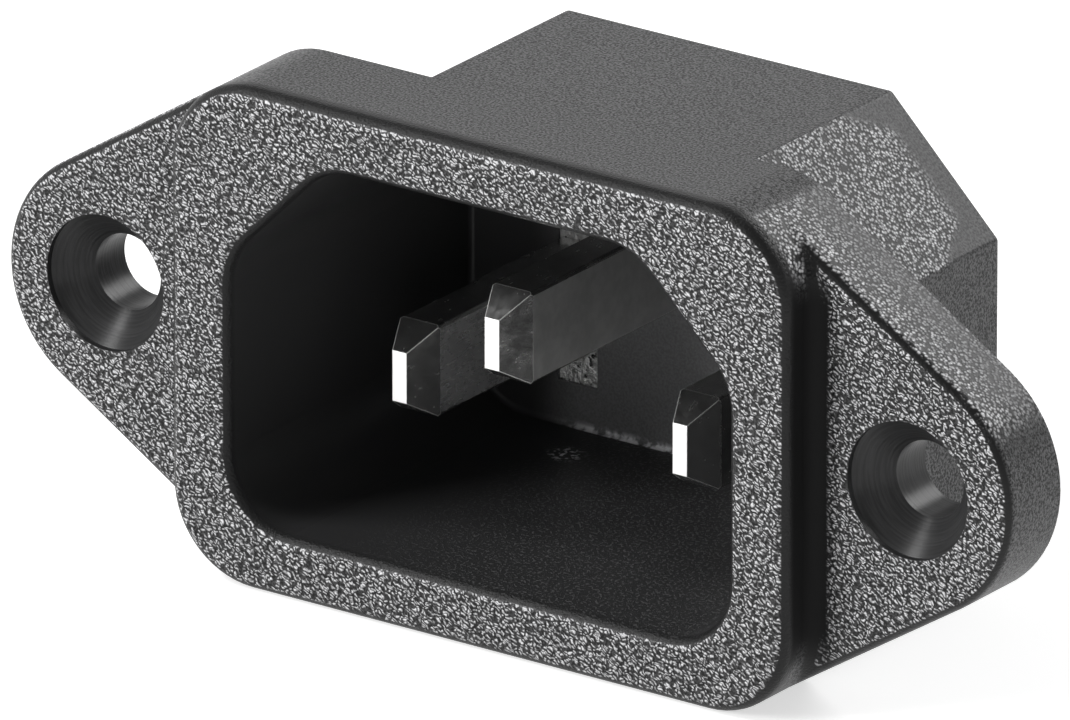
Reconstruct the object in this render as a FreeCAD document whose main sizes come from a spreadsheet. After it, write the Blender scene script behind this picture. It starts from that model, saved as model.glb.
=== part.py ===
import FreeCAD, Part
import math
import os

import Sketcher
from FreeCAD import Placement, Rotation, Vector

# A screw-mount C14 appliance inlet, in millimetres.
# The origin is the middle of the flange's rear face, which lies on the panel.
# +X runs from one screw to the other, -Y is the side that the plug comes from, +Z is up.
# The earth pin is the upper one, in the middle.

doc = FreeCAD.newDocument("c14_inlet")

# ---------------------------------------------------------------- driving sizes

SIZES = [
    # cavity
    ("cavity_width", 24.85, "width of the plug cavity"),
    ("cavity_height", 16.35, "height of the plug cavity"),
    ("cavity_depth", 17.0, "depth of the plug cavity below the bezel's face"),
    ("cavity_chamfer", 4.8, "45 degree cut of the cavity's two upper corners"),
    ("cavity_corner", 3.0, "radius of the cavity's two lower corners"),
    ("cavity_cut_corner", 3.2, "radius at both ends of each cut corner of the cavity"),
    ("cavity_rim_round", 0.55, "rounding of the cavity's rim"),
    ("cavity_floor_round", 0.25, "concave rounding round the cavity's back wall"),
    # bezel
    ("bezel_side_rim", 2.975, "width of the bezel's face beside the cavity"),
    ("bezel_top_rim", 2.775, "width of the bezel's face above and below the cavity"),
    ("bezel_corner", 4.0, "corner radius of the bezel"),
    ("bezel_rise", 1.9, "how far the bezel stands proud of the ears"),
    ("bezel_edge_round", 0.55, "rounding of the bezel's front edge"),
    ("bezel_root_round", 0.75, "concave rounding where the bezel meets an ear"),
    # ears
    ("screw_pitch", 40.0, "distance between the two screw holes"),
    ("ear_end", 5.0, "distance from a screw hole's middle to the ear's tip"),
    ("ear_tip_radius", 5.5, "rounding of each ear's tip"),
    ("ear_thickness", 3.6, "thickness of the flange at the ears"),
    ("ear_edge_round", 0.45, "rounding of the ears' front edge"),
    ("ear_blend", 0.02, "the ears' straight edges pass this far inside the bezel's corners"),
    # screw holes
    ("screw_hole", 3.3, "diameter of the clearance hole for the screw"),
    ("screw_head_hole", 5.9, "diameter of the countersink at the ear's face"),
    ("screw_head_lip", 0.3, "depth of the straight lip in front of the countersink"),
    ("countersink_angle", 90.0, "full angle of the countersink, in degrees"),
    # shroud behind the flange
    ("side_wall", 0.975, "wall of the shroud beside the cavity"),
    ("top_wall", 1.525, "wall of the shroud above and below the cavity"),
    ("corner_wall", 1.4, "wall of the shroud at the two cut corners"),
    ("back_wall", 1.0, "wall of the shroud behind the cavity"),
    ("shroud_corner", 2.0, "radius of the shroud's two lower corners"),
    ("shroud_edge_round", 0.3, "rounding of the shroud's other edges"),
    ("block_inset", 2.0, "how far the contact block is set in from the shroud's outline"),
    ("block_depth", 1.5, "thickness of the contact block behind the shroud"),
    ("block_corner", 0.8, "rounding of the contact block's lower corners"),
    # contacts
    ("pin_spacing", 14.0, "distance from the line pin to the neutral pin"),
    ("live_pin_drop", 2.0, "how far the line and neutral pins lie below the cavity's middle"),
    ("earth_pin_lift", 2.05, "how far the earth pin lies above the cavity's middle"),
    ("pin_thickness", 2.0, "thickness of a pin, across"),
    ("pin_height", 4.0, "height of a pin"),
    ("pin_edge_round", 0.2, "rounding of a pin's long edges"),
    ("live_tip_recess", 4.45, "the line and neutral pins end this far below the bezel's face"),
    ("earth_tip_recess", 1.15, "the earth pin ends this far below the bezel's face"),
    ("tip_length", 1.5, "length of a pin's tapered tip"),
    ("tip_thickness", 0.7, "thickness of a pin's flat end"),
    ("tip_height", 2.2, "height of a pin's flat end"),
    ("shoulder_above", 0.4, "how far a contact's shoulder reaches above its pin"),
    ("shoulder_below", 2.3, "how far a contact's shoulder reaches below its pin"),
    ("shoulder_recess", 0.15, "a shoulder starts this far below the cavity's back wall"),
    ("tab_height", 4.8, "height of the push-on tab"),
    ("tab_thickness", 0.8, "thickness of the push-on tab"),
    ("tab_length", 6.4, "length of the push-on tab behind the contact block"),
    ("tab_end_cut", 1.0, "cut of the two corners at the tab's end"),
    ("tab_hole", 1.4, "diameter of the hole through the tab"),
    ("tab_hole_setback", 3.0, "distance of the tab's hole from its end"),
]

# Sizes and places that follow from the sizes above.
DERIVED = [
    ("bezel_width", "cavity_width + 2 * bezel_side_rim", "width of the bezel"),
    ("bezel_height", "cavity_height + 2 * bezel_top_rim", "height of the bezel and flange"),
    ("tip_x", "screw_pitch / 2 + ear_end - ear_tip_radius", "middle of an ear tip's rounding"),
    ("shroud_width", "cavity_width + 2 * side_wall", "width of the shroud"),
    ("shroud_height", "cavity_height + 2 * top_wall", "height of the shroud"),
    (
        "shroud_chamfer",
        "cavity_chamfer + side_wall + top_wall - sqrt(2) * corner_wall",
        "45 degree cut of the shroud's two upper corners",
    ),
    ("face_y", "-ear_thickness - bezel_rise", "the bezel's front face"),
    ("back_wall_y", "face_y + cavity_depth", "the cavity's back wall"),
    ("shroud_back_y", "back_wall_y + back_wall", "the rear face of the shroud"),
    ("block_back_y", "shroud_back_y + block_depth", "the rear face of the contact block"),
    ("shoulder_y", "back_wall_y + shoulder_recess", "the front of the contacts' shoulders"),
]

sheet = doc.addObject("Spreadsheet::Sheet", "Sizes")
entries = [(name, repr(value), meaning) for name, value, meaning in SIZES]
entries += [(name, "=" + formula, meaning) for name, formula, meaning in DERIVED]
for row, (name, content, meaning) in enumerate(entries, start=1):
    sheet.set("A%d" % row, name)
    sheet.set("B%d" % row, content)
    sheet.set("C%d" % row, meaning)
    sheet.setAlias("B%d" % row, name)
doc.recompute()


def value(formula):
    """The number that a formula in the sheet's sizes gives."""
    return float(sheet.evalExpression(formula))


# ---------------------------------------------------------------- drawing helpers


def new_body(label):
    """A body is one physical piece; its features are drawn about the body's own origin."""
    body = doc.addObject("PartDesign::Body", label)
    body.Label = label
    body.Placement = Placement(Vector(0, 0, 0), Rotation())
    return body


def new_sketch(body, name, role="XZ_Plane", at_y="0"):
    """A sketch on an origin plane. XZ sketches look along -Y and lie at the place at_y."""
    plane = [item for item in body.Origin.OriginFeatures if item.Role == role][0]
    sketch = body.newObject("Sketcher::SketchObject", name)
    sketch.AttachmentSupport = [(plane, "")]
    sketch.MapMode = "FlatFace"
    if at_y != "0":
        sketch.setExpression(".AttachmentOffset.Base.z", "-(%s)" % at_y)
    return sketch


def bind(sketch, kind, geometry, formula):
    """Adds a dimension to a sketch and ties it to a formula in the sheet's sizes."""
    index = sketch.addConstraint(Sketcher.Constraint(kind, *geometry, value(formula)))
    sketch.setExpression("Constraints[%d]" % index, formula)


def bind_point(sketch, item, end, across, up):
    """Ties an end of a line, or a circle's centre, to two formulas, from the origin."""
    bind(sketch, "DistanceX", (-1, 1, item, end), across)
    bind(sketch, "DistanceY", (-1, 1, item, end), up)


def draw_polygon(sketch, corners):
    """A closed outline of straight lines whose corners are pairs of formulas."""
    points = [Vector(value(across), value(up), 0) for across, up in corners]
    first = sketch.GeometryCount
    count = len(points)
    for i, point in enumerate(points):
        sketch.addGeometry(Part.LineSegment(point, points[(i + 1) % count]), False)
    for i, (across, up) in enumerate(corners):
        after = first + (i + 1) % count
        sketch.addConstraint(Sketcher.Constraint("Coincident", first + i, 2, after, 1))
        bind_point(sketch, first + i, 1, across, up)


def draw_rectangle(sketch, width, height, across="0", up="0"):
    """A rectangle of the given width and height about the point (across, up)."""
    left = "%s - (%s) / 2" % (across, width)
    right = "%s + (%s) / 2" % (across, width)
    low = "%s - (%s) / 2" % (up, height)
    high = "%s + (%s) / 2" % (up, height)
    draw_polygon(sketch, [(left, low), (right, low), (right, high), (left, high)])


def draw_c14_section(sketch, width, height, cut):
    """The section of a C14 inlet: a rectangle with its two upper corners cut at 45 degrees."""
    side = "(%s) / 2" % width
    top = "(%s) / 2" % height
    draw_polygon(sketch, [
        ("-" + side, "-" + top),
        (side, "-" + top),
        (side, "%s - (%s)" % (top, cut)),
        ("%s - (%s)" % (side, cut), top),
        ("(%s) - %s" % (cut, side), top),
        ("-" + side, "%s - (%s)" % (top, cut)),
    ])


def pad(body, name, sketch, length, to_rear=False):
    """Adds material from the sketch, towards the plug or, if to_rear, away from it."""
    feature = body.newObject("PartDesign::Pad", name)
    feature.Profile = sketch
    feature.setExpression("Length", length)
    feature.Reversed = to_rear
    finish(feature)
    return feature


def pocket(body, name, sketch, depth):
    """Takes material away from the sketch towards the rear."""
    before = body.Tip.Shape.Volume
    feature = body.newObject("PartDesign::Pocket", name)
    feature.Profile = sketch
    feature.setExpression("Length", depth)
    feature.Reversed = False
    finish(feature)
    if not feature.Shape.Volume < before:
        raise ValueError(name + " cuts nothing")
    return feature


def round_edges(body, name, radius, wanted):
    """Rounds the edges of the body's last feature for which wanted(edge) is true."""
    base = body.Tip
    names = ["Edge%d" % i for i, edge in enumerate(base.Shape.Edges, start=1) if wanted(edge)]
    feature = body.newObject("PartDesign::Fillet", name)
    feature.Base = (base, names)
    feature.setExpression("Radius", radius)
    finish(feature)
    return feature


def finish(feature):
    """Recomputes the document and stops if the new feature has failed."""
    doc.recompute()
    failed = [item.Label for item in doc.Objects if "Invalid" in item.State or "Error" in item.State]
    if failed or "Touched" in feature.State:
        raise ValueError("%s failed at %s" % (feature.Label, failed))


NEAR = 1e-4


def lies_at_y(edge, y):
    """True if the whole edge lies in the plane Y = y."""
    box = edge.BoundBox
    return abs(box.YMin - y) < NEAR and abs(box.YMax - y) < NEAR


def runs_along_y(edge):
    """True if the edge is a straight line along Y."""
    box = edge.BoundBox
    return box.XLength < NEAR and box.ZLength < NEAR


def is_within(edge, half_width, half_height):
    """True if the edge lies inside a rectangle about the Y axis."""
    box = edge.BoundBox
    across = max(abs(box.XMin), abs(box.XMax))
    up = max(abs(box.ZMin), abs(box.ZMax))
    return across < half_width + NEAR and up < half_height + NEAR


# ---------------------------------------------------------------- housing


def draw_ear_outline(sketch):
    """Two round ear tips joined by straight edges that almost touch the bezel's corners.

    Each straight edge is tangent to its tip and to a circle just inside the bezel's corner, and
    ends there, so that the outline of the flange runs smoothly from the ears into the bezel.
    """
    tip_x = value("Sizes.tip_x")
    tip_radius = value("Sizes.ear_tip_radius")
    corner_x = value("Sizes.bezel_width / 2 - Sizes.bezel_corner")
    corner_z = value("Sizes.bezel_height / 2 - Sizes.bezel_corner")
    corner_radius = value("Sizes.bezel_corner - Sizes.ear_blend")
    # the direction square to the common tangent of the two circles
    apart = math.hypot(tip_x - corner_x, corner_z)
    square = math.atan2(tip_x - corner_x, corner_z) + math.asin((tip_radius - corner_radius) / apart)
    normal = Vector(math.cos(square), math.sin(square), 0)
    touch = Vector(tip_x, 0, 0) + normal * tip_radius
    top = Vector(corner_x, corner_z, 0) + normal * corner_radius

    def mirrored(point, side, up):
        return Vector(side * point.x, up * point.y, 0)

    def tip(side, start, end):
        return Part.Arc(start, Vector(side * (tip_x + tip_radius), 0, 0), end)

    outline = [
        Part.LineSegment(mirrored(top, -1, 1), top),
        Part.LineSegment(top, touch),
        tip(1, mirrored(touch, 1, -1), touch),
        Part.LineSegment(mirrored(touch, 1, -1), mirrored(top, 1, -1)),
        Part.LineSegment(mirrored(top, 1, -1), mirrored(top, -1, -1)),
        Part.LineSegment(mirrored(top, -1, -1), mirrored(touch, -1, -1)),
        tip(-1, mirrored(touch, -1, 1), mirrored(touch, -1, -1)),
        Part.LineSegment(mirrored(touch, -1, 1), mirrored(top, -1, 1)),
    ]
    sketch.addGeometry(outline, False)
    upper, right_upper, right_tip, right_lower, lower, left_lower, left_tip, left_upper = range(8)
    circle = Part.Circle(Vector(corner_x, corner_z, 0), Vector(0, 0, 1), corner_radius)
    guide = sketch.addGeometry(Part.ArcOfCircle(circle, square, math.radians(90)), True)
    start, end, middle, x_axis, z_axis = 1, 2, 3, -1, -2
    for rule in [
        ("Coincident", upper, end, right_upper, start),
        ("Coincident", right_lower, end, lower, start),
        ("Coincident", lower, end, left_lower, start),
        ("Coincident", left_upper, end, upper, start),
        ("Tangent", right_upper, end, right_tip, end),
        ("Tangent", right_tip, start, right_lower, start),
        ("Tangent", left_lower, end, left_tip, end),
        ("Tangent", left_tip, start, left_upper, start),
        ("Symmetric", upper, start, upper, end, z_axis),
        ("Symmetric", lower, start, lower, end, z_axis),
        ("Symmetric", upper, end, lower, start, x_axis),
        ("PointOnObject", right_tip, middle, x_axis),
        ("PointOnObject", left_tip, middle, x_axis),
        ("Equal", right_tip, left_tip),
        ("Tangent", guide, start, right_upper, start),
        ("Vertical", guide, end, guide, middle),
    ]:
        sketch.addConstraint(Sketcher.Constraint(*rule))
    bind(sketch, "DistanceX", (-1, 1, right_tip, middle), "Sizes.tip_x")
    bind(sketch, "DistanceX", (-1, 1, left_tip, middle), "-Sizes.tip_x")
    bind(sketch, "Radius", (right_tip,), "Sizes.ear_tip_radius")
    bind(sketch, "Radius", (guide,), "Sizes.bezel_corner - Sizes.ear_blend")
    across = "Sizes.bezel_width / 2 - Sizes.bezel_corner"
    bind_point(sketch, guide, middle, across, "Sizes.bezel_height / 2 - Sizes.bezel_corner")


def draw_shoulder(sketch, across="0", up="0"):
    """The section of a contact's shoulder, and of its slot, about a pin's middle line."""
    height = "Sizes.pin_height + Sizes.shoulder_above + Sizes.shoulder_below"
    middle = "%s + (Sizes.shoulder_above - Sizes.shoulder_below) / 2" % up
    draw_rectangle(sketch, "Sizes.pin_thickness", height, across, middle)


def contact_places():
    """The middle of each contact's pin, seen from the front: name, across and up."""
    return [
        ("line_contact", "-Sizes.pin_spacing / 2", "-Sizes.live_pin_drop"),
        ("neutral_contact", "Sizes.pin_spacing / 2", "-Sizes.live_pin_drop"),
        ("earth_contact", "0", "Sizes.earth_pin_lift"),
    ]


def make_housing():
    """The one moulding: flange, bezel, cavity, shroud and the block that holds the contacts."""
    body = new_body("housing")

    sketch = new_sketch(body, "ear_outline")
    draw_ear_outline(sketch)
    pad(body, "ear_plate", sketch, "Sizes.ear_thickness")
    ear_y = value("-Sizes.ear_thickness")
    round_edges(body, "ear_front_round", "Sizes.ear_edge_round", lambda edge: lies_at_y(edge, ear_y))

    # the bezel's outline runs right back to the panel, as part of the flange
    sketch = new_sketch(body, "bezel_outline")
    draw_rounded_rectangle(sketch, "Sizes.bezel_width", "Sizes.bezel_height", "Sizes.bezel_corner")
    pad(body, "bezel", sketch, "Sizes.ear_thickness + Sizes.bezel_rise")
    face_y = value("Sizes.face_y")
    round_edges(body, "bezel_front_round", "Sizes.bezel_edge_round", lambda edge: lies_at_y(edge, face_y))
    round_edges(body, "bezel_root_round", "Sizes.bezel_root_round", is_bezel_root)

    sketch = new_sketch(body, "shroud_section")
    draw_c14_section(sketch, "Sizes.shroud_width", "Sizes.shroud_height", "Sizes.shroud_chamfer")
    pad(body, "shroud", sketch, "Sizes.shroud_back_y", to_rear=True)
    round_edges(body, "shroud_corners", "Sizes.shroud_corner", is_shroud_lower_corner)
    round_edges(body, "shroud_edges", "Sizes.shroud_edge_round", is_shroud_edge)

    sketch = new_sketch(body, "block_section", at_y="Sizes.shroud_back_y")
    draw_c14_section(
        sketch,
        "Sizes.shroud_width - 2 * Sizes.block_inset",
        "Sizes.shroud_height - 2 * Sizes.block_inset",
        "Sizes.shroud_chamfer - Sizes.block_inset * (2 - sqrt(2))",
    )
    pad(body, "contact_block", sketch, "Sizes.block_depth", to_rear=True)
    round_edges(body, "block_corners", "Sizes.block_corner", is_block_lower_corner)

    sketch = new_sketch(body, "cavity_section", at_y="Sizes.face_y")
    draw_c14_section(sketch, "Sizes.cavity_width", "Sizes.cavity_height", "Sizes.cavity_chamfer")
    pocket(body, "cavity", sketch, "Sizes.cavity_depth")
    round_edges(body, "cavity_corners", "Sizes.cavity_corner", is_cavity_lower_corner)
    round_edges(body, "cavity_cut_corners", "Sizes.cavity_cut_corner", is_cavity_upper_corner)
    round_edges(body, "cavity_rim", "Sizes.cavity_rim_round", is_cavity_rim)
    back_y = value("Sizes.back_wall_y")
    round_edges(body, "cavity_floor", "Sizes.cavity_floor_round", lambda edge: lies_at_y(edge, back_y))

    sketch = new_sketch(body, "slot_sections", at_y="Sizes.back_wall_y")
    for name, across, up in contact_places():
        draw_shoulder(sketch, across, up)
    pocket(body, "contact_slots", sketch, "Sizes.block_back_y - Sizes.back_wall_y")

    sketch = new_sketch(body, "screw_centres", at_y="-Sizes.ear_thickness")
    for side in ("", "-"):
        circle = sketch.addGeometry(Part.Circle(), False)
        bind(sketch, "Radius", (circle,), "Sizes.screw_hole / 2")
        bind_point(sketch, circle, 3, side + "Sizes.screw_pitch / 2", "0")
    make_screw_holes(body, sketch)
    return body


def draw_rounded_rectangle(sketch, width, height, radius):
    """A rectangle about the origin whose four corners are arcs of one radius."""
    half_width, half_height = value(width) / 2, value(height) / 2
    corner = value(radius)
    x, z = half_width - corner, half_height - corner
    centres = [(x, -z, -90), (x, z, 0), (-x, z, 90), (-x, -z, 180)]
    for centre_x, centre_z, angle in centres:
        circle = Part.Circle(Vector(centre_x, centre_z, 0), Vector(0, 0, 1), corner)
        arc = Part.ArcOfCircle(circle, math.radians(angle), math.radians(angle + 90))
        sketch.addGeometry(arc, False)
    for i in range(4):
        start = sketch.Geometry[i].EndPoint
        end = sketch.Geometry[(i + 1) % 4].StartPoint
        sketch.addGeometry(Part.LineSegment(start, end), False)
    for i in range(4):
        line = 4 + i
        sketch.addConstraint(Sketcher.Constraint("Tangent", i, 2, line, 1))
        sketch.addConstraint(Sketcher.Constraint("Tangent", line, 2, (i + 1) % 4, 1))
        direction = "Vertical" if i % 2 == 0 else "Horizontal"
        sketch.addConstraint(Sketcher.Constraint(direction, line))
    for i in range(1, 4):
        sketch.addConstraint(Sketcher.Constraint("Equal", 0, i))
    bind(sketch, "Radius", (0,), radius)
    bind(sketch, "DistanceX", (-1, 1, 4, 1), "(%s) / 2" % width)
    bind(sketch, "DistanceX", (-1, 1, 6, 1), "-(%s) / 2" % width)
    bind(sketch, "DistanceY", (-1, 1, 5, 1), "(%s) / 2" % height)
    bind(sketch, "DistanceY", (-1, 1, 7, 1), "-(%s) / 2" % height)


def is_bezel_root(edge):
    """The edges where the bezel's sides rise from the flat of an ear."""
    on_ear = lies_at_y(edge, value("-Sizes.ear_thickness"))
    half_width = value("Sizes.bezel_width / 2")
    return on_ear and is_within(edge, half_width, value("Sizes.bezel_height / 2"))


def is_shroud_lower_corner(edge):
    """The two lower long edges of the shroud."""
    box = edge.BoundBox
    behind = box.YMin > -NEAR and box.YLength > value("Sizes.shroud_back_y") / 2
    return behind and runs_along_y(edge) and abs(box.ZMin + value("Sizes.shroud_height / 2")) < NEAR


def is_shroud_edge(edge):
    """The shroud's rear outline and its upper long edges."""
    box = edge.BoundBox
    if lies_at_y(edge, value("Sizes.shroud_back_y")):
        return True
    upper = box.ZMin > value("Sizes.shroud_height / 2 - Sizes.shroud_chamfer") - NEAR
    return runs_along_y(edge) and box.YMin > -NEAR and upper


def is_block_lower_corner(edge):
    """The two lower corners of the contact block."""
    low = value("Sizes.block_inset - Sizes.shroud_height / 2")
    box = edge.BoundBox
    on_block = abs(box.YMax - value("Sizes.block_back_y")) < NEAR
    return on_block and runs_along_y(edge) and abs(box.ZMin - low) < NEAR


def is_cavity_lower_corner(edge):
    """The two lower long edges of the cavity."""
    box = edge.BoundBox
    if not runs_along_y(edge) or abs(box.YMin - value("Sizes.face_y")) > NEAR:
        return False
    at_side = abs(abs(box.XMin) - value("Sizes.cavity_width / 2")) < NEAR
    return at_side and abs(box.ZMin + value("Sizes.cavity_height / 2")) < NEAR


def is_cavity_upper_corner(edge):
    """The four upper long edges of the cavity, at the ends of its two cuts."""
    half_height = value("Sizes.cavity_height / 2")
    inside = is_within(edge, value("Sizes.cavity_width / 2"), half_height)
    upper = edge.BoundBox.ZMin > half_height - value("Sizes.cavity_chamfer") - NEAR
    from_face = abs(edge.BoundBox.YMin - value("Sizes.face_y")) < NEAR
    return inside and upper and from_face and runs_along_y(edge)


def is_cavity_rim(edge):
    """The loop where the cavity meets the bezel's face."""
    half_width = value("Sizes.cavity_width / 2")
    half_height = value("Sizes.cavity_height / 2")
    return lies_at_y(edge, value("Sizes.face_y")) and is_within(edge, half_width, half_height)


def make_screw_holes(body, sketch):
    """Two clearance holes through the ears, countersunk from the front behind a short lip."""
    before = body.Tip.Shape.Volume
    holes = body.newObject("PartDesign::Hole", "screw_holes")
    holes.Profile = sketch
    doc.recompute()
    holes.Threaded = False
    holes.DepthType = "ThroughAll"
    holes.setExpression("Diameter", "Sizes.screw_hole")
    holes.HoleCutType = "Counterdrill"
    holes.HoleCutCustomValues = True
    holes.setExpression("HoleCutDiameter", "Sizes.screw_head_hole")
    holes.setExpression("HoleCutDepth", "Sizes.screw_head_lip")
    holes.setExpression("HoleCutCountersinkAngle", "Sizes.countersink_angle")
    finish(holes)
    if not holes.Shape.Volume < before:
        raise ValueError("the screw holes cut nothing")
    return holes


# ---------------------------------------------------------------- contacts


def make_contact(name, across, up, tip_recess):
    """One contact: a blade pin with a tapered tip, a shoulder in the wall and a rear tab.

    The pin's middle line is the body's Y axis; the body is then placed in the housing.
    """
    body = new_body(name)
    body.setExpression(".Placement.Base.x", across)
    body.setExpression(".Placement.Base.z", up)
    tip_y = "Sizes.face_y + " + tip_recess
    shaft_y = tip_y + " + Sizes.tip_length"

    shaft = new_sketch(body, name + "_shaft_section", at_y=shaft_y)
    draw_rectangle(shaft, "Sizes.pin_thickness", "Sizes.pin_height")
    pad(body, name + "_shaft", shaft, "Sizes.block_back_y - (%s)" % shaft_y, to_rear=True)

    end = new_sketch(body, name + "_end_section", at_y=tip_y)
    draw_rectangle(end, "Sizes.tip_thickness", "Sizes.tip_height")
    tip = body.newObject("PartDesign::AdditiveLoft", name + "_tip")
    tip.Profile = shaft
    tip.Sections = [end]
    tip.Ruled = True
    finish(tip)
    round_edges(body, name + "_long_edges", "Sizes.pin_edge_round", runs_along_y)

    sketch = new_sketch(body, name + "_shoulder_section", at_y="Sizes.shoulder_y")
    draw_shoulder(sketch)
    depth = "Sizes.block_back_y - Sizes.shoulder_y"
    pad(body, name + "_shoulder", sketch, depth, to_rear=True)

    sketch = new_sketch(body, name + "_tab_outline", role="YZ_Plane")
    draw_tab_outline(sketch)
    tab = body.newObject("PartDesign::Pad", name + "_tab")
    tab.Profile = sketch
    tab.Midplane = True
    tab.setExpression("Length", "Sizes.tab_thickness")
    finish(tab)
    return body


def draw_tab_outline(sketch):
    """The tab seen from its side: Y runs across the sketch. Its end corners are cut."""
    root = "Sizes.block_back_y"
    end = "Sizes.block_back_y + Sizes.tab_length"
    cut = end + " - Sizes.tab_end_cut"
    half = "Sizes.tab_height / 2"
    narrow = half + " - Sizes.tab_end_cut"
    draw_polygon(sketch, [
        (root, "-" + half),
        (cut, "-" + half),
        (end, "-(%s)" % narrow),
        (end, narrow),
        (cut, half),
        (root, half),
    ])
    hole = sketch.addGeometry(Part.Circle(), False)
    bind(sketch, "Radius", (hole,), "Sizes.tab_hole / 2")
    bind_point(sketch, hole, 3, end + " - Sizes.tab_hole_setback", "0")


# ---------------------------------------------------------------- the part

parts = [make_housing()]
for contact, across, up in contact_places():
    recess = "Sizes.earth_tip_recess" if contact == "earth_contact" else "Sizes.live_tip_recess"
    parts.append(make_contact(contact, across, up, recess))

doc.recompute()
for item in doc.Objects:
    if "Invalid" in item.State or "Error" in item.State:
        raise ValueError("%s is %s" % (item.Label, item.State))
for part in parts:
    if part.Shape.isNull() or not part.Shape.isValid() or len(part.Shape.Solids) != 1:
        raise ValueError(part.Label + " is not one valid solid")

os.makedirs("parts", exist_ok=True)
for part in parts:
    part.Shape.exportStep("parts/%s.step" % part.Label)
    print(part.Label, "volume", round(part.Shape.Volume, 3), part.Shape.BoundBox)
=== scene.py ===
import math

import bpy
from mathutils import Matrix, Vector


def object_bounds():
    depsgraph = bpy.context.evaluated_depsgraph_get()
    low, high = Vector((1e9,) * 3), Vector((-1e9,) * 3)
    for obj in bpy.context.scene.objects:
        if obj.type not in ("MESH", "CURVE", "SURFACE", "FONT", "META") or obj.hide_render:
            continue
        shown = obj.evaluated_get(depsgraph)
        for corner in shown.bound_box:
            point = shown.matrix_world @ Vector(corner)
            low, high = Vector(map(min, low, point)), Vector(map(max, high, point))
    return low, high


# A C14 panel inlet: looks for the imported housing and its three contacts.
# Lengths in the materials are in millimetres; everything else is in metres.

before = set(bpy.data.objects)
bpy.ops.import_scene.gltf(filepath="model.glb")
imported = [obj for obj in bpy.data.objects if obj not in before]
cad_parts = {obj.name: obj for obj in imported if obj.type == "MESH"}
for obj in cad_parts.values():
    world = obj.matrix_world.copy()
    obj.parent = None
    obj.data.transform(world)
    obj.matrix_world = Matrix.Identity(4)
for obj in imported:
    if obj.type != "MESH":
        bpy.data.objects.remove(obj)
cad_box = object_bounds()
scene = bpy.context.scene

MM = 0.001

# Where the housing's parts are.
BEZEL_FACE = -5.5       # the bezel's front face, along Y
EAR_FACE = -3.6         # the ears' front face, along Y
BACK_WALL = 11.5        # the cavity's back wall, along Y
CAVITY_FLOOR = -8.175   # along Z
HOLE_X = 20.0           # a screw hole's middle, along X
FLOOR_GLINT_PLACE = (-5.6, 8.7, CAVITY_FLOOR)

# Where a finish, a painted light or a painted shade begins and ends: its mask is 0 at the first
# number and 1 at the second.
HOLE_EDGE = (3.02, 2.97)        # distance from the hole's middle
CAVITY_X = (12.75, 12.5)        # distance to either side of the middle
CAVITY_Z = (8.5, 8.3)           # distance above or below the middle
CAVITY_CORNER = (16.6, 16.2)    # distance to the side plus height, at the slanted corners
ROOT_NEAR, ROOT_FAR = (14.9, 15.2), (16.25, 16.0)   # the bezel's foot on the ears, along X
EAR_TIP = (24.4, 23.6)          # along X

# Scales are per millimetre, the grain's before its skew. RELIEF is the height in millimetres
# that 1 stands for in the bump; the grain's domes reach 0.6.
GRAIN_SCALE, SAND_AND_GLINT_SCALE, FINE_SCALE, STIPPLE_SCALE = 7.5, 6.4, 9.5, 6.5
RELIEF = 0.110

# Base colours of the plastic, from 0 to 1. The grain's, the sand's, the stipple's, the floor
# spot's and the seam's pale colours are painted glints and highlights; the rim's and the root's
# near-black ones are painted shade.
GRAIN_DARK, GRAIN_GLINT, SAND_GLINT, SIDE_PALE = 0.004, 0.95, 0.90, 0.136
RIM_SHADE, ROOT_SHADE, STIPPLE_LIGHT, FLOOR_GLINT, SEAM_HIGHLIGHT = 0.012, 0.004, 0.12, 0.80, 0.90

SIDE_ROUGHNESS, FRONT_ROUGHNESS, SMOOTH_ROUGHNESS, ROOT_ROUGHNESS = 0.40, 0.28, 0.32, 0.75
PLASTIC_IOR, PLASTIC_SPECULAR = 1.42, 0.32

NICKEL_DARK, NICKEL_PALE = (0.66, 0.66, 0.65, 1), (0.76, 0.76, 0.75, 1)
# painted highlights: the near-white nickel of the pins' tips and of their edges
NICKEL_TIP_HIGHLIGHT, NICKEL_SCRAPS_AND_EDGE_HIGHLIGHT = (0.97, 0.97, 0.96, 1), (0.95, 0.95, 0.94, 1)
TORN_GAP = (0.03, 0.03, 0.03, 1)    # between the ragged scraps of cut metal
FLANK_ROUGHNESS = {"line_contact": 0.22, "neutral_contact": 0.17, "earth_contact": 0.46}
LAND_ROUGHNESS, CUT_ROUGHNESS, EDGE_ROUGHNESS = 0.42, 0.50, 0.55
EDGE_RADIUS = 0.06      # of the rounded edges that carry a painted highlight, in millimetres

FLOOR_WHITE, FLOOR_GLOW = 0.82, 0.60    # the glow is for camera and glossy rays only
ROOM_LIGHT, ROOM_IN_GLOSS = 0.75, 1.0


# ---------------------------------------------------------------- node helpers

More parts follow.
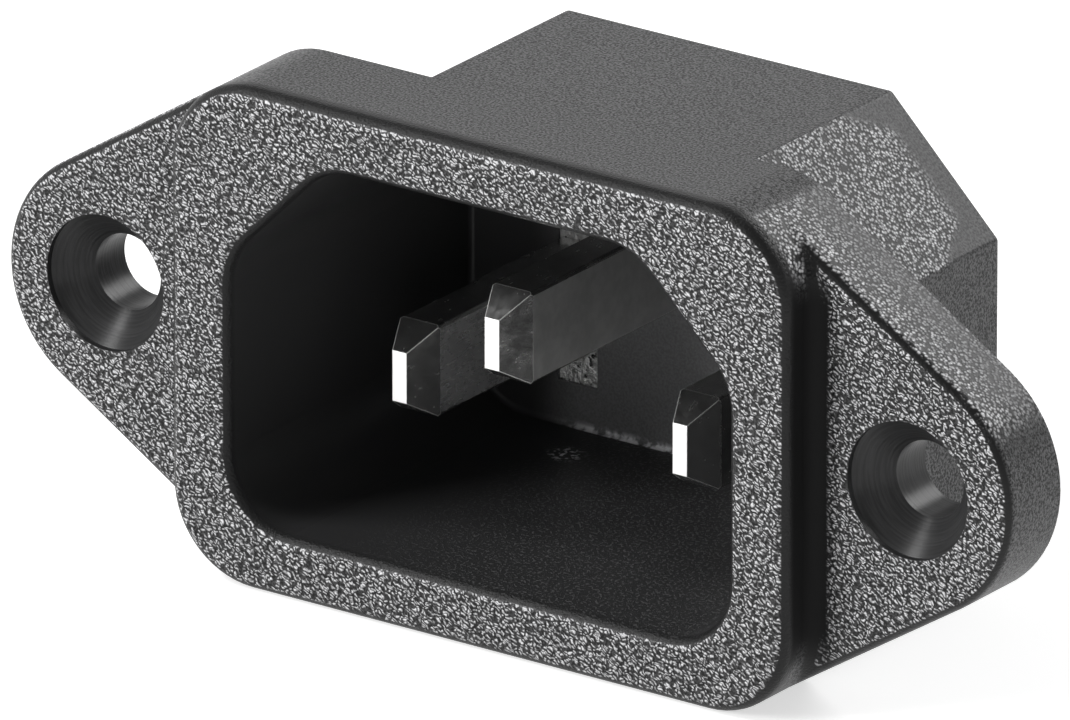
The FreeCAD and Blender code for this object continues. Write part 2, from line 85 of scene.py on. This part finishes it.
class Nodes:
    """Short ways to make a material's nodes. An input is a number, a colour or a socket."""

    def __init__(self, tree):
        self.tree = tree
        tree.nodes.clear()

    def new(self, kind, inputs=None, **settings):
        node = self.tree.nodes.new(kind)
        for key, setting in settings.items():
            setattr(node, key, setting)
        for key, given in (inputs or {}).items():
            self.put(node.inputs[key], given)
        return node

    def put(self, socket, given):
        if isinstance(given, bpy.types.NodeSocket):
            self.tree.links.new(given, socket)
        elif given is not None:
            socket.default_value = given

    def math(self, operation, a, b=None):
        node = self.new("ShaderNodeMath", operation=operation)
        for socket, given in zip(node.inputs, (a, b)):
            self.put(socket, given)
        return node.outputs[0]

    def add(self, a, b): return self.math("ADD", a, b)
    def sub(self, a, b): return self.math("SUBTRACT", a, b)
    def mul(self, a, b): return self.math("MULTIPLY", a, b)
    def low(self, a, b): return self.math("MINIMUM", a, b)
    def high(self, a, b): return self.math("MAXIMUM", a, b)
    def invert(self, a): return self.math("SUBTRACT", 1.0, a)

    def ramp(self, x, start, end, low=0.0, high=1.0, smooth=True):
        """low where x is at start, high where it is at end, clamped."""
        node = self.new("ShaderNodeMapRange", {"Value": x, "From Min": start, "From Max": end,
                                               "To Min": low, "To Max": high})
        node.interpolation_type = "SMOOTHSTEP" if smooth else "LINEAR"
        return node.outputs[0]

    def mix(self, factor, a, b):
        node = self.new("ShaderNodeMix", {"Factor": factor}, data_type="FLOAT")
        self.put(node.inputs[2], a)
        self.put(node.inputs[3], b)
        return node.outputs[0]

    def mix_colour(self, factor, a, b):
        node = self.new("ShaderNodeMix", {"Factor": factor}, data_type="RGBA")
        self.put(node.inputs[6], a)
        self.put(node.inputs[7], b)
        return node.outputs[2]

    def split(self, vector):
        return self.new("ShaderNodeSeparateXYZ", {"Vector": vector}).outputs

    def join(self, x, y, z):
        return self.new("ShaderNodeCombineXYZ", {"X": x, "Y": y, "Z": z}).outputs[0]

    def noise(self, place, scale, detail=2.0, roughness=0.5):
        node = self.new("ShaderNodeTexNoise", {"Vector": place, "Scale": scale, "Detail": detail,
                                               "Roughness": roughness})
        return node.outputs[0]

    def cells(self, place, scale, flat=False, randomness=1.0):
        """How far each point is from the middle of its cell, in parts of a cell."""
        node = self.new("ShaderNodeTexVoronoi", voronoi_dimensions="2D" if flat else "3D")
        self.put(node.inputs["Vector"], place)
        self.put(node.inputs["Scale"], scale)
        self.put(node.inputs["Randomness"], randomness)
        return node.outputs["Distance"]

    def bump(self, height, depth, normal=None):
        node = self.new("ShaderNodeBump", {"Height": height, "Distance": depth, "Strength": 1.0,
                                           "Normal": normal})
        return node.outputs[0]

    def surface(self, shader, kind="ShaderNodeOutputMaterial"):
        """Sends a shader to the tree's output."""
        self.put(self.new(kind).inputs["Surface"], shader.outputs[0])


def new_material(name):
    material = bpy.data.materials.new(name)
    material.use_nodes = True
    return material, Nodes(material.node_tree)


def millimetres(n):
    """The place on the object, in millimetres."""
    node = n.new("ShaderNodeVectorMath", operation="SCALE")
    n.put(node.inputs[0], n.new("ShaderNodeTexCoord").outputs["Object"])
    n.put(node.inputs["Scale"], 1.0 / MM)
    return node.outputs[0]


def direction(azimuth, elevation):
    """The way from the object at these angles in degrees: 0, 0 is the front."""
    a, e = math.radians(azimuth), math.radians(elevation)
    return Vector((math.sin(a) * math.cos(e), -math.cos(a) * math.cos(e), math.sin(e)))


# ---------------------------------------------------------------- materials

def housing_material():
    """Black moulded plastic: coarse spark-eroded grain in front, finer on the sides, with painted
    glints, highlights, light and shade in its base colour.
    """
    material, n = new_material("moulded_black")
    place = millimetres(n)
    x, y, z = n.split(place)
    side_x = n.math("ABSOLUTE", x)
    face_x, face_y, face_z = n.split(n.new("ShaderNodeNewGeometry").outputs["Normal"])
    lean_x = n.math("ABSOLUTE", face_x)

    # where each finish, and each painted light or shade, lies
    front = n.mul(n.ramp(face_y, -0.86, -0.93), n.ramp(y, EAR_FACE + 0.2, EAR_FACE + 0.1))
    hole_x = n.sub(side_x, HOLE_X)
    radius = n.math("SQRT", n.add(n.mul(hole_x, hole_x), n.mul(z, z)))
    hole = n.mul(n.ramp(radius, *HOLE_EDGE), n.ramp(y, EAR_FACE - 0.02, EAR_FACE + 0.02))
    hole = n.mul(hole, n.ramp(face_y, 0.95, 0.80))
    side_z = n.math("ABSOLUTE", z)
    section = n.low(n.ramp(side_x, *CAVITY_X), n.ramp(side_z, *CAVITY_Z))
    section = n.mul(section, n.ramp(n.add(side_x, z), *CAVITY_CORNER))
    depth = n.mul(n.ramp(y, BACK_WALL + 0.3, BACK_WALL + 0.2),
                  n.ramp(y, BEZEL_FACE + 0.2, BEZEL_FACE + 0.6))
    inside = n.mul(section, depth)
    slanted = n.mul(n.mul(n.ramp(lean_x, 0.38, 0.5), n.ramp(lean_x, 0.98, 0.86)),
                    n.ramp(face_z, 0.1, 0.3))
    slanted = n.mul(slanted, n.ramp(y, BEZEL_FACE + 0.5, BEZEL_FACE + 0.6))
    # painted shade: the bezel's foot on the ears is near black
    shaded_root = n.mul(n.mul(n.ramp(side_x, *ROOT_NEAR), n.ramp(side_x, *ROOT_FAR)),
                 n.mul(n.ramp(y, BEZEL_FACE + 0.3, BEZEL_FACE + 0.6),
                       n.ramp(y, EAR_FACE + 1.2, EAR_FACE + 0.7)))
    shaded_root = n.mul(shaded_root, n.ramp(side_z, 9.2, 7.0))
    # painted shade: the roundings beside the front faces and the bezel's front part are near black
    shaded_rim = n.mul(n.ramp(face_y, -0.25, -0.55), n.ramp(y, 0.0, -0.1))
    shaded_rim = n.high(shaded_rim, n.ramp(y, BEZEL_FACE + 1.05, BEZEL_FACE + 0.6))
    smooth = n.high(hole, inside)

    # coarse grain: short slanting pebbles, about 0.23 mm long and 0.13 mm across
    drift = n.new("ShaderNodeTexNoise", {"Vector": place, "Scale": 3.2, "Detail": 1.0})
    sway, rise, _ = n.split(drift.outputs["Color"])
    across = n.add(n.add(n.mul(x, 0.52), n.mul(z, -0.24)), n.mul(sway, 0.30))
    up = n.add(n.add(n.mul(x, 0.42), n.mul(z, 0.90)), n.mul(rise, 0.30))
    pebbles = n.cells(n.join(across, up, 0.0), GRAIN_SCALE, flat=True, randomness=0.85)
    patchy = n.noise(place, 3.6, 3.0, 0.65)
    dome = n.ramp(pebbles, 0.55, 0.08, smooth=False)
    # painted glints: pale spots on the pebbles, stronger in random patches
    painted_glints = n.mul(n.ramp(pebbles, 0.46, 0.06), n.ramp(patchy, 0.32, 0.64, 0.45, 1.3))

    # fine grain of the outer sides, with painted glints as brighter pinpoints on the slanted ones
    fine = n.noise(place, FINE_SCALE, 1.5, 0.6)
    sand_and_glints = n.mul(n.ramp(n.cells(place, SAND_AND_GLINT_SCALE), 0.70, 0.16),
                 n.ramp(patchy, 0.34, 0.62, 0.55, 1.25))
    # the sand and its painted glints fade out in front of the shroud's end and towards the ears'
    # tips
    along = n.math("ABSOLUTE", n.sub(n.sub(side_x, z), 3.7))
    far = n.ramp(n.add(y, n.ramp(along, 3.0, 5.3, 0.0, 2.0)), 10.4, 11.3, 1.0, 0.0)
    ear = n.ramp(y, 0.2, -0.2)
    near = n.ramp(y, -0.4, -3.2, 0.35, 1.0)
    sand_and_glint_reach = n.mix(ear, far, n.mul(near, n.ramp(side_x, *EAR_TIP)))
    sand_and_glints = n.mul(sand_and_glints, sand_and_glint_reach)
    stipple = n.ramp(n.noise(place, STIPPLE_SCALE, 1.5, 0.6), 0.52, 0.68)

    # marks that the mould's turned pins leave inside the screw holes
    rings = n.noise(n.join(n.mul(radius, 9.0), n.mul(y, 9.0), n.mul(z, 0.6)), 1.0, 2.0, 0.6)

    # colour: the grain's and the speckle's glints are pale spots in the base colour
    sides = n.ramp(fine, 0.38, 0.62, 0.0, SIDE_PALE, smooth=False)
    # the sides' tone darkens where the painted glints are strong
    under = n.mul(sides, n.ramp(sand_and_glint_reach, 0.0, 1.0, 0.75, 0.2))
    sides = n.mix(slanted, sides, n.add(under, n.mul(sand_and_glints, SAND_GLINT)))
    grain = n.add(n.ramp(painted_glints, 0.0, 1.0, GRAIN_DARK, GRAIN_GLINT, smooth=False),
                  n.ramp(fine, 0.42, 0.64, 0.0, 0.06, smooth=False))
    # painted light: the grain is up to 1.7 times paler where the front faces tilt upwards
    grain = n.low(n.mul(grain, n.ramp(face_z, 0.03, 0.25, 1.0, 1.7)), GRAIN_GLINT)
    level = n.mix(front, n.mix(shaded_rim, sides, RIM_SHADE), grain)
    # painted light: pale stipple on the cavity's floor that grows towards +X, and cavity walls
    # that grow paler towards the top
    lit_floor = n.mul(n.ramp(z, CAVITY_FLOOR + 0.575, CAVITY_FLOOR + 0.275), n.ramp(x, -9.0, 1.0))
    walls = n.ramp(z, -7.0, 4.0, 0.036, 0.060)
    level = n.mix(inside, level, n.mix(n.mul(stipple, lit_floor), walls, STIPPLE_LIGHT))
    # painted light: the back wall is paler from x = -9.5 towards +X
    back = n.mul(n.ramp(y, BACK_WALL - 0.3, BACK_WALL - 0.1), n.ramp(x, -9.5, -6.5))
    level = n.mix(n.mul(inside, back), level, n.ramp(fine, 0.3, 0.7, 0.16, 0.21))
    # a painted glint on the cavity's floor
    spot = n.new("ShaderNodeVectorMath", operation="DISTANCE")
    n.put(spot.inputs[0], place)
    spot.inputs[1].default_value = FLOOR_GLINT_PLACE
    ragged = n.ramp(n.noise(place, 4.5, 2.0), 0.50, 0.62)
    level = n.mix(n.mul(n.ramp(spot.outputs["Value"], 1.0, 0.3), ragged), level, FLOOR_GLINT)
    level = n.mix(hole, level, n.ramp(rings, 0.3, 0.7, 0.025, 0.045))
    level = n.mix(shaded_root, level, ROOT_SHADE)
    # a painted highlight along the line where the floor meets the back wall
    seam_highlight = n.mul(n.ramp(y, BACK_WALL - 0.28, BACK_WALL - 0.2),
                 n.ramp(y, BACK_WALL + 0.02, BACK_WALL - 0.04))
    seam_highlight = n.mul(seam_highlight, n.ramp(z, CAVITY_FLOOR + 0.375, CAVITY_FLOOR + 0.225))
    seam_highlight = n.mul(seam_highlight, n.mul(n.ramp(x, -8.2, -5.5), n.ramp(n.noise(place, 3.0, 2.0), 0.35, 0.6)))
    level = n.mix(n.mul(seam_highlight, inside), level, SEAM_HIGHLIGHT)
    colour = n.new("ShaderNodeCombineColor", {"Red": level, "Green": level,
                                              "Blue": n.mul(level, 1.02)}).outputs[0]

    rough = n.mix(front, SIDE_ROUGHNESS, FRONT_ROUGHNESS)
    rough = n.mix(smooth, rough, SMOOTH_ROUGHNESS)
    rough = n.mix(shaded_root, rough, ROOT_ROUGHNESS)

    # relief
    height = n.mix(front, n.mul(fine, 0.35), n.mul(dome, 0.6))
    height = n.mix(slanted, height, n.mul(sand_and_glints, 0.45))
    height = n.mix(inside, height, n.mul(n.mul(stipple, lit_floor), 0.25))
    height = n.mix(hole, height, n.mul(rings, 0.10))
    height = n.mul(height, n.invert(shaded_root))
    normal = n.bump(height, RELIEF * MM)

    shader = n.new("ShaderNodeBsdfPrincipled", {"Base Color": colour, "Roughness": rough,
                                                "Normal": normal})
    shader.inputs["IOR"].default_value = PLASTIC_IOR
    shader.inputs["Specular IOR Level"].default_value = PLASTIC_SPECULAR
    n.surface(shader)
    return material


def contact_material(name, satin):
    """Nickel-plated brass with a painted highlight along its softly rounded edges and a ragged cut
    shoulder.
    """
    material, n = new_material(name)
    place = millimetres(n)
    x, y, z = n.split(place)
    true_normal = n.new("ShaderNodeNewGeometry").outputs["True Normal"]
    face_x, face_y, _ = n.split(true_normal)

    # the pin's flat tip, paler as a painted highlight, and the cut shoulder at the back wall
    end = n.ramp(face_y, -0.97, -0.999)
    land = n.mul(end, n.ramp(y, 5.0, 4.0))
    cut = n.mul(end, n.ramp(y, 10.0, 11.0))

    grain = n.noise(n.join(n.mul(x, 6.0), n.mul(y, 0.5), n.mul(z, 6.0)), 1.0, 3.0, 0.6)
    mottle = n.noise(place, 1.6, 3.0, 0.55)
    ragged = n.noise(place, 3.2, 3.0, 0.65)
    torn = n.ramp(ragged, 0.34, 0.46)

    flank = n.ramp(n.math("ABSOLUTE", face_x), 0.95, 0.99)
    rough = n.mix(flank, n.ramp(grain, 0.3, 0.7, 0.18, 0.24),
                  n.ramp(grain, 0.3, 0.7, satin, satin + 0.06))
    rough = n.add(rough, n.ramp(mottle, 0.35, 0.7, 0.0, 0.05))
    rough = n.mix(land, rough, LAND_ROUGHNESS)
    rough = n.mix(cut, rough, CUT_ROUGHNESS)
    colour = n.mix_colour(n.ramp(mottle, 0.3, 0.7), NICKEL_DARK, NICKEL_PALE)
    colour = n.mix_colour(land, colour, NICKEL_TIP_HIGHLIGHT)
    colour = n.mix_colour(cut, colour, n.mix_colour(torn, TORN_GAP, NICKEL_SCRAPS_AND_EDGE_HIGHLIGHT))

    # painted highlight on the edges: paler and rougher where a rounded normal leaves the flat one
    rounded = n.new("ShaderNodeBevel", samples=6)
    rounded.inputs["Radius"].default_value = EDGE_RADIUS * MM
    turned = n.new("ShaderNodeVectorMath", operation="DOT_PRODUCT")
    n.put(turned.inputs[0], rounded.outputs[0])
    n.put(turned.inputs[1], true_normal)
    edge_highlight = n.mul(n.ramp(turned.outputs["Value"], 0.998, 0.97), n.ramp(y, 8.0, 7.0))
    rough = n.mix(edge_highlight, rough, EDGE_ROUGHNESS)
    colour = n.mix_colour(edge_highlight, colour, NICKEL_SCRAPS_AND_EDGE_HIGHLIGHT)
    normal = n.bump(grain, 0.0006 * MM, rounded.outputs[0])
    normal = n.bump(n.mul(ragged, cut), 0.25 * MM, normal)
    shader = n.new("ShaderNodeBsdfPrincipled", {"Base Color": colour, "Roughness": rough,
                                                "Normal": normal})
    shader.inputs["Metallic"].default_value = 1.0
    n.surface(shader)
    return material


def dress(node, material):
    """Gives a CAD node its material in every slot."""
    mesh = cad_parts[node].data
    if not mesh.materials:
        mesh.materials.append(material)
    for i in range(len(mesh.materials)):
        mesh.materials[i] = material


dress("housing", housing_material())
for contact, satin in FLANK_ROUGHNESS.items():
    dress(contact, contact_material("nickel_" + contact, satin))


# ---------------------------------------------------------------- stage

def make_floor():
    """A pale floor under the object; it keeps the object's shadow."""
    bpy.ops.mesh.primitive_plane_add(size=8.0, location=(0, 0, cad_box[0][2]))
    floor = bpy.context.object
    floor.name = "floor"
    material, n = new_material("pale_floor")
    matt = n.new("ShaderNodeBsdfDiffuse", {"Color": (FLOOR_WHITE, FLOOR_WHITE, FLOOR_WHITE, 1)})
    glow = n.new("ShaderNodeEmission", {"Color": (1, 1, 1, 1), "Strength": FLOOR_GLOW})
    both = n.new("ShaderNodeAddShader")
    n.tree.links.new(matt.outputs[0], both.inputs[0])
    n.tree.links.new(glow.outputs[0], both.inputs[1])
    rays = n.new("ShaderNodeLightPath").outputs
    seen = n.high(rays["Is Camera Ray"], rays["Is Glossy Ray"])
    mix = n.new("ShaderNodeMixShader", {"Fac": seen})
    n.tree.links.new(matt.outputs[0], mix.inputs[1])
    n.tree.links.new(both.outputs[0], mix.inputs[2])
    n.surface(mix)
    floor.data.materials.append(material)


make_floor()


def make_world():
    """White behind the object and in its reflections, dimmer overhead and as a light."""
    world = bpy.data.worlds.new("studio")
    scene.world = world
    world.use_nodes = True
    n = Nodes(world.node_tree)
    rays = n.new("ShaderNodeLightPath").outputs
    white = n.high(rays["Is Camera Ray"], rays["Is Transmission Ray"])
    _, way_y, way_z = n.split(n.new("ShaderNodeTexCoord").outputs["Generated"])
    room = n.mul(n.ramp(way_z, 0.35, 0.75, 1.0, 0.35), n.ramp(way_y, -0.2, 0.5, 0.5, 1.0))
    level = n.mix(white, n.mul(room, n.mix(rays["Is Glossy Ray"], ROOM_LIGHT, ROOM_IN_GLOSS)), 1.0)
    sky = n.new("ShaderNodeBackground", {"Color": (1, 1, 1, 1), "Strength": level})
    n.surface(sky, "ShaderNodeOutputWorld")


make_world()


def add_lamp(name, azimuth, elevation, width, height, radiance, distance=0.9):
    """A soft box that faces the object, from the direction that its angles give."""
    away = direction(azimuth, elevation)
    data = bpy.data.lights.new(name, "AREA")
    data.shape = "RECTANGLE"
    data.size = width
    data.size_y = height
    data.energy = radiance * width * height * math.pi
    lamp = bpy.data.objects.new(name, data)
    turn = away.to_track_quat("Z", "Y").to_matrix().to_4x4()
    lamp.matrix_world = Matrix.Translation(away * distance) @ turn
    scene.collection.objects.link(lamp)


add_lamp("key_left", azimuth=-38, elevation=22, width=0.28, height=0.32, radiance=17.0)
add_lamp("upper_left", azimuth=-56, elevation=50, width=0.18, height=0.18, radiance=22.0)
add_lamp("back_right", azimuth=163, elevation=37, width=0.50, height=0.32, radiance=7.0)


# ---------------------------------------------------------------- camera

def make_camera():
    """The photograph's viewing angle, from far away and slightly above, to the right."""
    azimuth, elevation, distance = 35.5071, 21.2331, 1.20642
    aim, across, up = Vector((0, -2.5 * MM, 0)), -0.6764 * MM, -0.7335 * MM
    away = direction(azimuth, elevation)
    turned = math.radians(azimuth)
    right = Vector((math.cos(turned), math.sin(turned), 0))
    above = away.cross(right)
    data = bpy.data.cameras.new("camera")
    data.sensor_width = 36.0
    data.lens = 1000.0
    data.clip_start, data.clip_end = 0.1, 50.0
    camera = bpy.data.objects.new("camera", data)
    place = aim + away * distance - right * across - above * up
    turn = Matrix((right, above, away)).transposed().to_4x4()
    camera.matrix_world = Matrix.Translation(place) @ turn
    scene.collection.objects.link(camera)
    scene.camera = camera


make_camera()
scene.view_settings.view_transform = "Standard"
